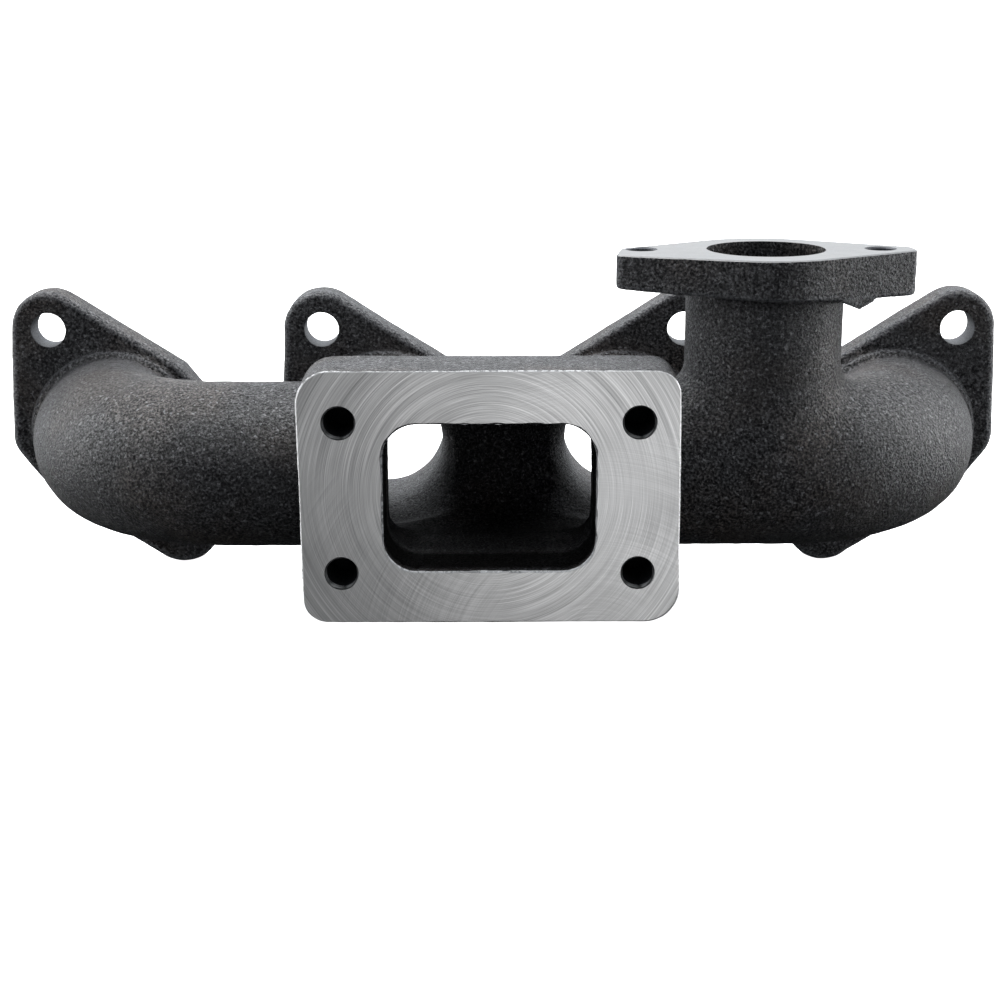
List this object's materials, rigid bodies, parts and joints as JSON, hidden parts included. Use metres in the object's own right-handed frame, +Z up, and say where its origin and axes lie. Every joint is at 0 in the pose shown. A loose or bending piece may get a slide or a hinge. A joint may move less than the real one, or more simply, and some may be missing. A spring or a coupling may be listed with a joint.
{
  "type": "exhaust manifold",
  "caption": "Cast iron log-style turbo exhaust manifold: diagonal two-stud head flanges, curved runners, a rectangular turbine flange and a raised wastegate outlet.",
  "frame": {"origin": "centre of the turbine flange's bolt pattern, on its machined face", "axes": "+X along the engine towards the wastegate side, +Y into the cylinder head, +Z up towards the wastegate flange"},
  "size_m": [0.3216, 0.1032, 0.1097],
  "materials": {
    "cast_skin": "as-cast, fine sand grain, near black",
    "machined_iron": "as cast at the sides; front face milled bright with circular tool marks"
  },
  "bodies": {
    "root": {"port_flange_1": "cast_skin", "port_flange_2": "cast_skin", "port_flange_3": "cast_skin", "port_flange_4": "cast_skin", "port_collar_1": "cast_skin", "port_collar_2": "cast_skin", "port_collar_3": "cast_skin", "port_collar_4": "cast_skin", "outer_runner_1": "cast_skin", "inner_runner_2": "cast_skin", "inner_runner_3": "cast_skin", "outer_runner_4": "cast_skin", "log_left": "cast_skin", "log_centre_left": "cast_skin", "log_centre_right": "cast_skin", "log_right": "cast_skin", "collector_neck": "cast_skin", "turbine_flange": "machined_iron", "wastegate_riser": "cast_skin", "wastegate_flange": "cast_skin", "gate_stub": "cast_skin"}
  },
  "joints": []
}
